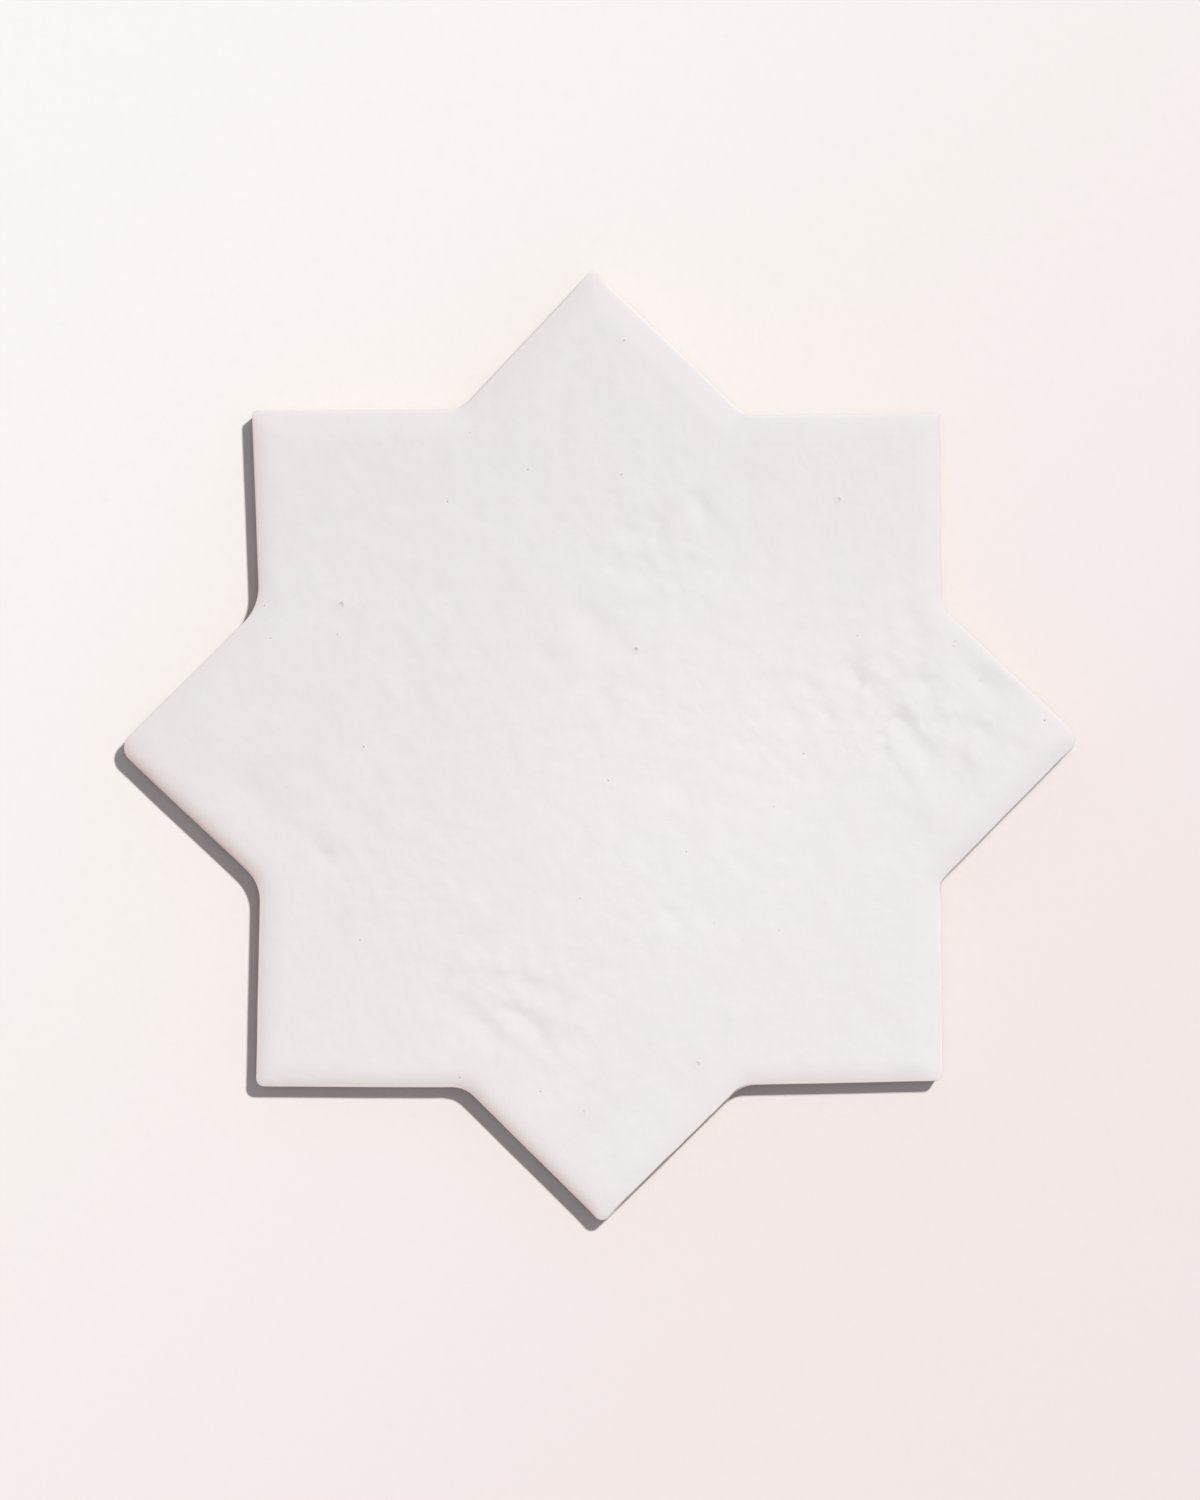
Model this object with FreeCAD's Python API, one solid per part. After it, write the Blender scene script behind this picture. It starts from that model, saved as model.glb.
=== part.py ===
import FreeCAD, Part
import math
import os
from collections import namedtuple

# Eight-pointed star tile, cut by hand from a slab of clay, fired, and glazed on its face.
# Millimetres. The origin is the middle of the back, +Z points out of the glazed face,
# +X runs to the east tip and +Y to the north tip.

# The true star is two equal squares, one of them turned by half a right angle.
SQUARE_SIDE = 109.0
THICKNESS = 10.0

# Hand cutting leaves each corner a little off the true star: how far it lies to the
# right and up, and how round it is. The drop is how far the rim falls along the run that
# follows the corner anticlockwise, since the slab was patted down more on some sides.
Corner = namedtuple("Corner", "right up radius drop")
EAST_TIP = Corner(right=0.2, up=0.9, radius=2.6, drop=0.2)
EAST_NORTHEAST_NOTCH = Corner(right=0.6, up=-0.8, radius=4.0, drop=0.4)
NORTHEAST_TIP = Corner(right=0.3, up=-1.0, radius=0.4, drop=0.2)
NORTH_NORTHEAST_NOTCH = Corner(right=0.5, up=-1.5, radius=5.3, drop=0.85)
NORTH_TIP = Corner(right=-1.1, up=-1.0, radius=0.5, drop=0.55)
NORTH_NORTHWEST_NOTCH = Corner(right=0.6, up=-0.6, radius=5.3, drop=0.7)
NORTHWEST_TIP = Corner(right=-1.1, up=-0.8, radius=0.8, drop=0.6)
WEST_NORTHWEST_NOTCH = Corner(right=0.1, up=-0.2, radius=8.0, drop=0.45)
WEST_TIP = Corner(right=-0.2, up=-0.3, radius=2.5, drop=1.0)
WEST_SOUTHWEST_NOTCH = Corner(right=0.1, up=0.6, radius=6.5, drop=0.65)
SOUTHWEST_TIP = Corner(right=-0.6, up=0.0, radius=1.3, drop=0.75)
SOUTH_SOUTHWEST_NOTCH = Corner(right=0.8, up=-0.1, radius=4.9, drop=0.9)
SOUTH_TIP = Corner(right=0.3, up=0.6, radius=1.4, drop=0.4)
SOUTH_SOUTHEAST_NOTCH = Corner(right=0.3, up=0.2, radius=5.1, drop=0.6)
SOUTHEAST_TIP = Corner(right=0.5, up=0.9, radius=1.3, drop=0.75)
EAST_SOUTHEAST_NOTCH = Corner(right=0.3, up=0.6, radius=2.1, drop=0.65)

# Anticlockwise from the east tip, a tip and a notch in turn.
HAND_CUT_CORNERS = (
    EAST_TIP,
    EAST_NORTHEAST_NOTCH,
    NORTHEAST_TIP,
    NORTH_NORTHEAST_NOTCH,
    NORTH_TIP,
    NORTH_NORTHWEST_NOTCH,
    NORTHWEST_TIP,
    WEST_NORTHWEST_NOTCH,
    WEST_TIP,
    WEST_SOUTHWEST_NOTCH,
    SOUTHWEST_TIP,
    SOUTH_SOUTHWEST_NOTCH,
    SOUTH_TIP,
    SOUTH_SOUTHEAST_NOTCH,
    SOUTHEAST_TIP,
    EAST_SOUTHEAST_NOTCH,
)

# The face falls towards its edge ever more steeply, as a power of how far out it is on
# the rolled rim, and meets the wall at a blunt arris.
RIM_ROLL_WIDTH = 4.6
RIM_ROLL_POWER = 3
RIM_BANDS = 5

# The cutter leans the walls in towards the back, and the back's edge is knocked off.
WALL_DRAFT_DEGREES = 1.5
BACK_ARRIS = 0.5

# Shallow grooves combed across the back key it into the mortar. They run east to west,
# and the middle of the back is a land between two of them.
KEY_GROOVE_WIDTH = 5.0
KEY_GROOVE_FLOOR_WIDTH = 4.0
KEY_GROOVE_DEPTH = 0.8
KEY_GROOVE_PITCH = 10.5
KEY_TIP_LAND = 6.0


def vector(x, y, z):
    return FreeCAD.Vector(x, y, z)


def inward_normal(start, end):
    """Unit vector to the left of the run from start to end, which is the clay's side."""
    run = end.sub(start).normalize()
    return vector(-run.y, run.x, 0)


def cut_corners(inset):
    """The star's sharp corners, moved in from the cut edge by inset."""
    step = 2 * math.pi / len(HAND_CUT_CORNERS)
    tip_reach = SQUARE_SIDE / math.sqrt(2)
    notch_reach = SQUARE_SIDE / 2 / math.cos(step)
    corners = []
    for index, hand in enumerate(HAND_CUT_CORNERS):
        reach = notch_reach if index % 2 else tip_reach
        x = reach * math.cos(index * step) + hand.right
        y = reach * math.sin(index * step) + hand.up
        corners.append(vector(x, y, 0))
    moved = []
    for index, corner in enumerate(corners):
        before = inward_normal(corners[index - 1], corner)
        after = inward_normal(corner, corners[(index + 1) % len(corners)])
        shift = before.add(after).multiply(inset / (1 + before.dot(after)))
        moved.append(corner.add(shift))
    return moved


def corner_arc(before, corner, after, radius):
    """The start, middle and end of the arc that rounds a corner, tangent to both runs."""
    run_in = corner.sub(before).normalize()
    run_out = after.sub(corner).normalize()
    half_turn = run_in.getAngle(run_out) / 2
    tangent = radius * math.tan(half_turn)
    start = corner.sub(run_in * tangent)
    end = corner.add(run_out * tangent)
    towards_centre = run_out.sub(run_in).normalize()
    middle = corner.add(towards_centre * (radius / math.cos(half_turn) - radius))
    return start, middle, end


def star_outline(inset, height, fallen=0):
    """A closed star of sixteen straight runs, with an arc between each two of them.

    Each run lies below the height by the fallen share of its side's drop, and the arcs
    climb from one run to the next.
    """
    corners = cut_corners(inset)
    arcs = []
    for index, corner in enumerate(corners):
        before = corners[index - 1]
        after = corners[(index + 1) % len(corners)]
        arcs.append(corner_arc(before, corner, after, HAND_CUT_CORNERS[index].radius))
    raised = []
    for index, (start, middle, end) in enumerate(arcs):
        before = height - fallen * HAND_CUT_CORNERS[index - 1].drop
        after = height - fallen * HAND_CUT_CORNERS[index].drop
        raised.append((
            vector(start.x, start.y, before),
            vector(middle.x, middle.y, (before + after) / 2),
            vector(end.x, end.y, after),
        ))
    edges = []
    for index, (start, middle, end) in enumerate(raised):
        edges.append(Part.makeLine(raised[index - 1][2], start))
        edges.append(Part.Arc(start, middle, end).toShape())
    return Part.Wire(edges)


def wall_outlines():
    """The knocked-off edge of the back, and the foot of the walls that lean in to it."""
    lean = math.tan(math.radians(WALL_DRAFT_DEGREES))
    wall_foot = (THICKNESS - BACK_ARRIS) * lean
    return [
        star_outline(wall_foot + BACK_ARRIS, 0),
        star_outline(wall_foot, BACK_ARRIS),
    ]


def rim_outlines():
    """The rolled rim, from the arris up to where the face is flat."""
    outlines = []
    for index in range(RIM_BANDS + 1):
        outward = 1 - index / RIM_BANDS
        inset = RIM_ROLL_WIDTH * (1 - outward)
        outlines.append(star_outline(inset, THICKNESS, outward ** RIM_ROLL_POWER))
    return outlines


def key_grooves():
    """The bars that comb the back, as deep above it as below, narrowing to the floor."""
    floor_half = KEY_GROOVE_FLOOR_WIDTH / 2
    below_half = KEY_GROOVE_WIDTH - floor_half
    reach = SQUARE_SIDE / math.sqrt(2) - KEY_TIP_LAND
    length = 2 * SQUARE_SIDE
    bars = []
    centre = KEY_GROOVE_PITCH / 2
    while centre + KEY_GROOVE_WIDTH / 2 < reach:
        for side in (centre, -centre):
            section = Part.makePolygon([
                vector(-length / 2, side - below_half, -KEY_GROOVE_DEPTH),
                vector(-length / 2, side + below_half, -KEY_GROOVE_DEPTH),
                vector(-length / 2, side + floor_half, KEY_GROOVE_DEPTH),
                vector(-length / 2, side - floor_half, KEY_GROOVE_DEPTH),
                vector(-length / 2, side - below_half, -KEY_GROOVE_DEPTH),
            ])
            bars.append(Part.Face(section).extrude(vector(length, 0, 0)))
        centre += KEY_GROOVE_PITCH
    return bars


def star_tile():
    """The whole tile as one solid."""
    body = Part.makeLoft(wall_outlines() + rim_outlines(), True, True)
    return body.cut(key_grooves()).removeSplitter()


os.makedirs("parts", exist_ok=True)
tile = star_tile()
print("solids", len(tile.Solids), "faces", len(tile.Faces), "valid", tile.isValid())
print("volume", round(tile.Volume), "box", tile.BoundBox)
tile.exportStep("parts/star_tile.step")
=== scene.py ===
"""Looks of the eight-pointed star tile: a hand-cut clay star under a satin off-white glaze.

The frame's tile gives the outline, the heights and the box. The visible tile follows them, and
adds what the hand and the kiln leave: pressed hollows, soft ripples, craters and pricks in the
glaze, a rim that is different on every side and a combed back. The rim's colour also carries a
painted highlight on the sides that face the sun, and painted shade and painted shadow elsewhere.
Metres, with the origin in the middle of the back, +X to the east tip and +Y to the north tip.
"""

import math
from collections import namedtuple

import bmesh
import bpy
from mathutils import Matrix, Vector
from mathutils.geometry import delaunay_2d_cdt
from mathutils.kdtree import KDTree


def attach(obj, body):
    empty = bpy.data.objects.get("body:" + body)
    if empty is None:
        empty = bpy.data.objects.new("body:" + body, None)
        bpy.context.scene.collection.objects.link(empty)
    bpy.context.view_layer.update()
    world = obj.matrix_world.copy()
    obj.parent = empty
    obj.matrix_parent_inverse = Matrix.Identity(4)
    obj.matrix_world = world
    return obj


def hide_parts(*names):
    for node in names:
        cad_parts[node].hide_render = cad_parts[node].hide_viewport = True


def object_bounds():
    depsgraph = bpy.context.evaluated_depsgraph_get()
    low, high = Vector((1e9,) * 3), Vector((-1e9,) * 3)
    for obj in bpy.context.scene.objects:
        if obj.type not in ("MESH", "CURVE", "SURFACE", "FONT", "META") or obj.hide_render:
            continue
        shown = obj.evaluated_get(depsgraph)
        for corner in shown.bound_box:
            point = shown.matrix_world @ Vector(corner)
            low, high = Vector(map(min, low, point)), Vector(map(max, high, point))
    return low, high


bl_info = {
    "name": "Glazed Star Tile",
    "version": (1, 0, 0),
    "blender": (4, 5, 0),
    "location": "View3D > Sidebar > Star Tile",
    "description": "Builds a handmade glazed star tile and the table it is photographed on",
    "category": "Object",
}

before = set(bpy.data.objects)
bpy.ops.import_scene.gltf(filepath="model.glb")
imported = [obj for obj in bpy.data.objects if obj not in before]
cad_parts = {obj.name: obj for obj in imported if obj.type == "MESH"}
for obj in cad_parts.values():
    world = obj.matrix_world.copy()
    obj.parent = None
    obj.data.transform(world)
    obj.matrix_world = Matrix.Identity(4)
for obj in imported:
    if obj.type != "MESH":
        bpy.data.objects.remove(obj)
CAD_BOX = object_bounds()

MM = 0.001
TILE_NODE = "star_tile"
PIECE_NAME = "glazed_star_tile"

# The frame's arris has sixteen straight runs, all longer than the pieces of its arcs. It lies
# between faces whose normals rise hardly at all and faces whose normals rise steeply.
CORNERS = 16
SHORTEST_RUN = 15 * MM
WALL_NORMAL_RISE = 0.1
FACE_NORMAL_RISE = 0.7
MERGE_DISTANCE = 1e-6

# How finely arcs, roll, arris and wall are divided, and how the roll's steps crowd towards the
# arris, where it is steepest.
ARC_STEPS = 8
ROLL_STEPS = 12
ROLL_CROWDING = 1.6
ARRIS_STEPS = 3
WALL_STEPS = 6

# How a ring is filled with triangles: only inside it, and how near to each other two of its
# points, in millimetres, count as one.
INSIDE_ONLY = 1
FLAT_PRECISION = 1e-7

# The least gap between a point and the nearest edge point, as a share of the spacing.
EDGE_GAP = 0.25
FACE_GAP = 0.6
BACK_GAP = 1 / 3

# The circles of points round a crater and its least gap to the roll, as shares of its radius,
# and the spacing on those circles, as a share of the face's.
CRATER_CIRCLES = (0.3, 0.6, 0.85, 1.15, 1.5)
CRATER_ROLL_GAP = 2
CRATER_SPACING = 0.4
CRATER_FEWEST_POINTS = 6

# The walls and the combed back, as in the part's source. The wall's lowest ring of points
# clears the grooves.
WALL_LEAN_DEGREES = 1.5
GROOVE_PITCH = 10.5 * MM
GROOVE_HALF_MOUTH = 2.5 * MM
GROOVE_HALF_FLOOR = 2.0 * MM
GROOVE_DEPTH = 0.8 * MM
BACK_ARRIS = 0.5 * MM
WALL_LOW = GROOVE_DEPTH * 1.3

# How far along the edge two sides blend into each other, and how far from a tip its lip and
# its dark line of bare clay and painted shadow begin and how much further they are whole.
SIDE_BLEND = 9 * MM
TIP_BARE = 1.5 * MM
TIP_TAPER = 4.5 * MM

# What the hand and the kiln did along each run of the edge, anticlockwise from the east tip, and
# the light and shade painted along it. Slip is how far outside its true line it was cut, in
# millimetres, and power how much faster the roll falls towards the arris. The others are shares
# of the glaze's look there: a painted highlight on the arris and a painted sheen band behind it,
# on the sides that face the sun; thin glaze darkened with painted shade, on the sides away from
# the sun; a pale lip; and a dark line of bare clay and painted shadow, mostly on the edges that
# lie along the sun's bearing.
Side = namedtuple("Side", "slip power bead band thin lip scorch")
SIDES = (
    Side(0.16, 3.0, 0.32, 0.09, 0.00, 0.0, 0.00),
    Side(-0.26, 3.0, 0.10, 0.03, 0.03, 0.0, 0.00),
    Side(-0.06, 3.0, 0.32, 0.07, 0.00, 0.0, 0.00),
    Side(0.14, 2.0, 0.80, 0.12, 0.00, 0.0, 0.00),
    Side(0.26, 1.8, 0.00, 0.02, 0.05, 0.0, 0.17),
    Side(0.00, 2.0, 0.35, 0.14, 0.00, 0.0, 0.00),
    Side(0.13, 3.0, 0.00, 0.00, 0.36, 0.0, 0.10),
    Side(0.04, 2.0, 0.00, 0.04, 0.05, 0.0, 0.04),
    Side(0.03, 3.6, 0.00, 0.00, 1.05, 0.0, 0.14),
    Side(-0.03, 3.0, 0.00, 0.00, 0.33, 0.7, 0.00),
    Side(0.07, 3.2, 0.00, 0.00, 0.32, 1.0, 0.00),
    Side(-0.07, 4.0, 0.00, 0.00, 0.68, 0.0, 0.00),
    Side(0.16, 2.4, 0.00, 0.00, 0.06, 0.0, 1.25),
    Side(0.04, 3.0, 0.00, 0.00, 0.19, 0.7, 0.00),
    Side(0.03, 1.6, 0.08, 0.16, 0.00, 0.0, 0.00),
    Side(-0.17, 2.0, 0.04, 0.00, 0.05, 0.0, 0.70),
)

# In the middle of the face and the back no side's work shows.
PLAIN_SIDE = Side(0, 0, 0, 0, 0, 0, 0)

# A hollow pressed into the clay before it was fired, in millimetres and degrees. Its length
# runs along turn, and a negative depth is a rise. Depth is a share of the press depth.
Press = namedtuple("Press", "x y length width turn depth")
PRESSES = (
    # The worked patch on the east arm.
    Press(40.9, 11.6, 3.0, 1.9, -57, 1.0),
    Press(41.5, 10.2, 0.9, 0.8, -30, 0.5),
    Press(48.1, 4.1, 3.4, 1.8, -52, 1.1),
    Press(52.2, -0.7, 2.6, 1.6, -52, 0.7),
    Press(45.3, 1.7, 0.9, 0.8, 0, 0.4),
    Press(51.1, 10.2, 3.0, 1.6, -5, 0.6),
    Press(61.5, 10.2, 3.8, 1.6, -43, 0.7),
    Press(50.1, 20.4, 2.4, 1.9, -35, 0.5),
    Press(50.5, 17.4, 1.4, 1.2, -30, 0.35),
    Press(33.6, 9.5, 1.8, 1.3, -30, 0.45),
    Press(36.4, 5.1, 1.8, 1.3, -50, 0.45),
    Press(31.4, 4.4, 2.3, 1.7, -55, 0.5),
    Press(61.4, 2.5, 1.4, 1.2, -45, 0.45),
    Press(66.8, 0.1, 1.6, 1.2, -45, 0.3),
    Press(59.8, -2.0, 2.6, 1.6, -45, -0.4),
    Press(49.0, -5.8, 1.8, 1.2, -60, 0.35),
    Press(53.0, -10.0, 6.0, 3.0, -50, -0.5),
    Press(63.4, 10.6, 7.0, 2.8, -43, 0.5),
    # Finger marks above the south-west notch.
    Press(-18.8, -44.6, 3.9, 1.9, -38, 0.7),
    Press(-10.6, -45.6, 3.0, 1.8, -45, 0.65),
    Press(-11.1, -38.4, 4.4, 1.3, -14, 0.45),
    Press(-15.1, -39.5, 0.9, 0.8, 0, 0.3),
    Press(-13.5, -42.7, 2.6, 1.0, -10, 0.4),
    Press(-21.5, -34.0, 2.0, 1.7, -50, -0.4),
    Press(11.2, -26.7, 3.4, 1.3, -50, 0.4),
    Press(7.4, -33.2, 1.2, 1.0, -30, 0.25),
    Press(21.3, -42.7, 2.0, 1.8, -40, -0.35),
    # The slope under the north tip and the middle of the face.
    Press(16.2, 38.1, 3.0, 1.6, -52, 0.75),
    Press(9.1, 35.7, 2.2, 1.5, -50, 0.3),
    Press(5.3, 34.2, 4.2, 1.7, -10, 0.4),
    Press(4.6, 27.8, 3.6, 1.7, -12, 0.35),
    Press(-1.1, 19.8, 4.2, 2.6, -40, 0.9),
    Press(-9.0, 14.4, 2.0, 1.5, -35, 0.5),
    Press(1.0, 7.3, 3.0, 1.8, -70, 0.35),
    Press(11.0, -6.0, 4.0, 2.9, -20, 0.5),
    Press(9.0, -16.7, 2.2, 1.8, -30, 0.3),
    Press(23.4, -18.7, 1.8, 1.5, -60, 0.2),
    Press(22.6, 0.6, 1.2, 0.8, -15, 0.2),
    Press(31.4, -4.9, 1.2, 1.0, -20, 0.25),
    Press(16.2, -25.5, 4.0, 3.0, -30, 0.3),
    # Long hollows inside the south-west edge of the west arm.
    Press(-55.1, -8.4, 5.8, 3.2, -40, 0.6),
    Press(-44.6, -17.1, 2.9, 1.5, -50, 0.6),
)

# Patches that were patted more than the rest and stayed lumpy.
LUMPY_PATCHES = (
    Press(48.0, 5.7, 15.0, 10.0, -10, 0.9),
    Press(-13.5, -40.8, 11.0, 8.0, -30, 0.75),
    Press(13.0, 4.1, 17.0, 11.0, -20, 0.42),
    Press(8.2, 33.0, 10.0, 8.0, -30, 0.6),
    Press(-27.0, 7.3, 9.0, 14.0, 0, 0.2),
    Press(-32.0, -21.5, 12.0, 10.0, 0, 0.35),
    Press(6.6, -24.7, 12.0, 8.0, -40, 0.4),
)

# A bubble that broke in the kiln and left a crater in the glaze, in millimetres. Stain is how
# much of the brown shows at its bottom.
Crater = namedtuple("Crater", "x y radius depth stain")
CRATERS = (
    Crater(38.3, 39.5, 0.36, 0.20, 0.14),
    Crater(-41.4, 22.7, 0.42, 0.24, 0.24),
    Crater(15.7, -50.9, 0.36, 0.20, 0.14),
    Crater(5.8, 15.5, 0.36, 0.22, 0.38),
    Crater(61.4, 10.5, 0.38, 0.14, 0.28),
    Crater(-2.6, -58.6, 0.34, 0.07, 0.10),
)

# A prick is too small for a crater, and shows as a dot.
Prick = namedtuple("Prick", "x y radius stain")
PRICKS = (
    Prick(3.9, 65.0, 0.16, 0.60),
    Prick(-11.5, 44.3, 0.14, 0.60),
    Prick(3.5, 43.5, 0.14, 0.60),
    Prick(-24.4, 39.2, 0.14, 0.60),
    Prick(-20.8, 50.2, 0.12, 0.30),
    Prick(-42.0, 17.9, 0.14, 0.60),
    Prick(-52.7, 17.3, 0.14, 0.45),
    Prick(-53.7, 22.5, 0.15, 0.45),
    Prick(-37.8, -0.1, 0.15, 0.60),
    Prick(41.3, 17.7, 0.14, 0.45),
    Prick(56.9, 16.8, 0.14, 0.35),
    Prick(56.8, 16.0, 0.13, 0.40),
    Prick(71.3, 4.1, 0.16, 0.55),
    Prick(32.7, -1.2, 0.15, 0.50),
    Prick(1.4, -5.5, 0.14, 0.55),
    Prick(27.9, -9.7, 0.14, 0.40),
    Prick(13.9, -16.9, 0.14, 0.45),
    Prick(-3.2, -24.4, 0.13, 0.40),
    Prick(18.3, -28.3, 0.13, 0.30),
    Prick(28.7, -29.5, 0.13, 0.40),
    Prick(-38.4, -31.1, 0.15, 0.55),
    Prick(-22.4, -53.1, 0.14, 0.60),
    Prick(-9.5, -55.3, 0.15, 0.45),
    Prick(-50.2, -6.6, 0.13, 0.30),
)

# Noise. Scale is in waves to the metre, detail counts the finer waves on them and roughness is
# how strong these are. Its patches begin where it passes low, and reach their full strength
# where it reaches high.
Pattern = namedtuple("Pattern", "scale detail roughness low high full", defaults=(0, 1, 1))
CUT_STRAY = Pattern(55.0, 2.0, 0.5)
GLAZE_EDGE = Pattern(260.0, 3.0, 0.5)
GLAZE_RUNS = Pattern(75.0, 1.0, 0.5, 0.56, 0.74)
COOL_PATCHES = Pattern(28.0, 3.0, 0.55, 0.50, 0.72)
WARM_PATCHES = Pattern(110.0, 4.0, 0.6, 0.50, 0.75, 0.7)
BLOTCHES = Pattern(150.0, 4.0, 0.6)
GLAZE_PEEL = Pattern(900.0, 2.0, 0.5)
GLAZE_GRAIN = Pattern(2600.0, 2.0, 0.5)
CLAY_CLOUDS = Pattern(60.0, 4.0, 0.6, 0.45, 0.75, 0.45)
CLAY_SAND = Pattern(1400.0, 3.0, 0.65, 0.55, 0.75, 0.5)
CLAY_GROG_SCALE = 620.0
PAPER_FIBRE = Pattern(520.0, 4.0, 0.65, 0.42, 0.8, 0.06)

# The ripples and lumps of the face run aslant, scaled by these factors, and the seed moves them.
# They begin a little inside the arris. The lumps are everywhere, but more in worked patches.
RELIEF_TURN = math.radians(-45)
RIPPLE_SCALES = (1.0, 0.6, 1.0)
LUMP_SCALES = (1.0, 1.05, 1.0)
SEED_STEP = (1.37, -0.71)
RELIEF_START = 0.3 * MM
RELIEF_WHOLE = 2.2 * MM
LUMPS_EVERYWHERE = 0.27

# A crater's floor and whole stain, the crest and width of the bead round it, and a prick's
# outer and inner edge, as shares of the radius. The bead's height is a share of the depth.
CRATER_FLOOR = 0.2
CRATER_STAIN = 0.35
CRATER_BEAD_CREST = 1.2
CRATER_BEAD_WIDTH = 0.32
CRATER_BEAD_HEIGHT = 0.24
PRICK_OUTER = 1.25
PRICK_INNER = 0.4

# Edges that bend this much and lie this far below the face stay sharp: those of the back.
SHARP_BEND = math.radians(28)
SHARP_DEPTH = 5 * MM

# The glaze ends softly below the arris, on a line that wanders, and lower where it ran. The thin
# glaze with its painted shade, the painted highlight and the painted sheen band fade away from the
# arris. The lip and the dark line of bare clay and painted shadow are a narrow line.
GLAZE_END = -0.45 * MM
GLAZE_RUN_LENGTH = 3.2 * MM
GLAZE_END_LOW = -0.04 * MM
GLAZE_END_HIGH = 0.10 * MM
GLAZE_WANDER = 0.3 * MM
THIN_AND_SHADE_REACH = 0.70 * MM
HIGHLIGHT_REACH = 0.26 * MM
SHEEN_REACH = 1.1 * MM
LINE_INNER = 0.38 * MM
LINE_OUTER = 0.14 * MM

# The glaze is a little whiter to the south-east, and thickest in a pool right of the middle.
TONE_SLOPE = 0.21
TONE_NORTH = 0.984
TONE_SOUTH = 0.997
TONE_SOUTH_END = -60 * MM
POOL_CENTRE = (20 * MM, -5 * MM, 10 * MM)
POOL_WIDTH = 33 * MM
POOL_TONE = 0.055
BLOTCH_TONE = 0.055

# How much the glaze's roughness wanders, and what a pit adds to it.
ROUGHNESS_WANDER = 0.08
PIT_ROUGHNESS = 0.3

# Relief that is too fine for the mesh, in millimetres. Peel and sand are most of it, by these
# shares, and the glaze's grain and the grog's pores the rest. A pore ends at this share of the
# spacing between two.
GLAZE_BUMP = 0.03
PIT_BUMP = 0.05
CLAY_BUMP = 0.10
PEEL_SHARE = 0.8
SAND_SHARE = 0.6
GROG_PORE = 0.5

# The stage, in metres, but the sensor in millimetres. The table reaches far past the picture,
# and its blush runs from the upper left to the lower right.
TABLE_HALF = 6.0
LIGHT_DISTANCE = 2.0
CAMERA_REACH = 30.0
SENSOR_WIDTH = 36.0
BLUSH_START = -0.24
BLUSH_END = 0.26
FIBRE_COLOUR = (0.62, 0.60, 0.58)

# What a side or a pit does to the glaze's colour, each over the one before it: thin glaze darkened
# with painted shade, a painted highlight, a pale lip, a dark line of bare clay and painted shadow,
# and a pit.
RIM_LOOKS = ("Thin", "Bead", "Lip", "Scorch")
GLAZE_LOOKS = (*RIM_LOOKS, "Pit")

# What the tile's geometry tree takes from its settings, under these names.
TREE_LENGTHS = ("Press depth", "Lump depth", "Lump size", "Ripple depth", "Ripple size",
                "Cut wander", "Roll width")


def length(name, description, millimetres, smallest=0.0):
    """A length property, whose default is given in millimetres."""
    return bpy.props.FloatProperty(
        name=name, description=description, default=millimetres * MM,
        min=smallest * MM, unit="LENGTH", precision=5)


def share(name, description, default, largest=1.0):
    """A plain number from 0 to largest."""
    return bpy.props.FloatProperty(
        name=name, description=description, default=default, min=0.0, max=largest)


def colour(name, description, default):
    """A colour property in scene-linear red, green and blue."""
    return bpy.props.FloatVectorProperty(
        name=name, description=description, default=default, min=0.0, max=1.0,
        size=3, subtype="COLOR")


def angle(name, description, degrees):
    """An angle property, whose default is given in degrees."""
    return bpy.props.FloatProperty(
        name=name, description=description, default=math.radians(degrees), unit="ROTATION")


class StarTileSettings(bpy.types.PropertyGroup):
    """Sizes and finishes of the tile."""

    roll_width: length("Roll width", "How far in from the arris the face starts to fall", 4.6)
    arris_round: length("Arris rounding", "How far the rounding of the arris reaches", 0.08)
    grid: length("Grid", "Spacing of the points across the face", 0.46, 0.3)
    column: length("Column spacing", "Spacing of the points along the edge", 0.55, 0.3)
    back_grid: length("Back grid", "Spacing of the points across the back", 2.6, 1.0)
    press_depth: length("Press depth", "Depth of a hollow of depth 1", 0.38)
    lump_depth: length("Lump depth", "Height of the lumps in the worked patches", 0.60)
    lump_size: length("Lump size", "Distance between those lumps", 3.6, 0.5)
    ripple_depth: length("Ripple depth", "Height of the broad ripples of the face", 0.06)
    ripple_size: length("Ripple size", "Distance between the broad ripples", 16.0, 1.0)
    cut_wander: length("Cut wander", "How far the cut edge strays from a straight line", 0.10)
    seed: bpy.props.IntProperty(name="Seed", description="Picks the ripples and lumps", default=7)

    glaze: colour("Glaze", "The satin glaze", (0.703, 0.667, 0.649))
    glaze_cool: colour("Cool glaze", "Where the glaze lies thick", (0.697, 0.668, 0.649))
    glaze_warm: colour("Warm glaze", "Where the clay warms the glaze", (0.707, 0.659, 0.639))
    # Partly thin glaze and partly painted shade: rims darkened and reddened on the sides away from
    # the sun.
    thin_glaze_and_shade: colour("Thin glaze", "Where the clay shows through", (0.625, 0.458, 0.418))
    # Painted highlight: a whiter line and band along the arris on the sides that face the sun.
    bead: colour("Bead", "Along the arris where the glaze gathered", (0.86, 0.86, 0.84))
    lip: colour("Lip", "Along the arris where it drained away", (0.80, 0.67, 0.60))
    # A dark line along the arris: partly bare clay, partly painted shadow along the edges that lie
    # along the sun's bearing.
    scorch: colour("Scorch", "The line along the arris that stayed bare", (0.25, 0.20, 0.175))
    clay: colour("Clay", "The fired body", (0.375, 0.335, 0.31))
    clay_dark: colour("Dark clay", "Its grains and hollows", (0.29, 0.25, 0.225))
    pinhole_brown: colour("Pinhole brown", "The bottom of a pinhole", (0.26, 0.18, 0.14))
    glaze_roughness: share("Glaze roughness", "How matt the glaze is", 0.60)
    clay_roughness: share("Clay roughness", "How matt the bare clay is", 0.92)


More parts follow.
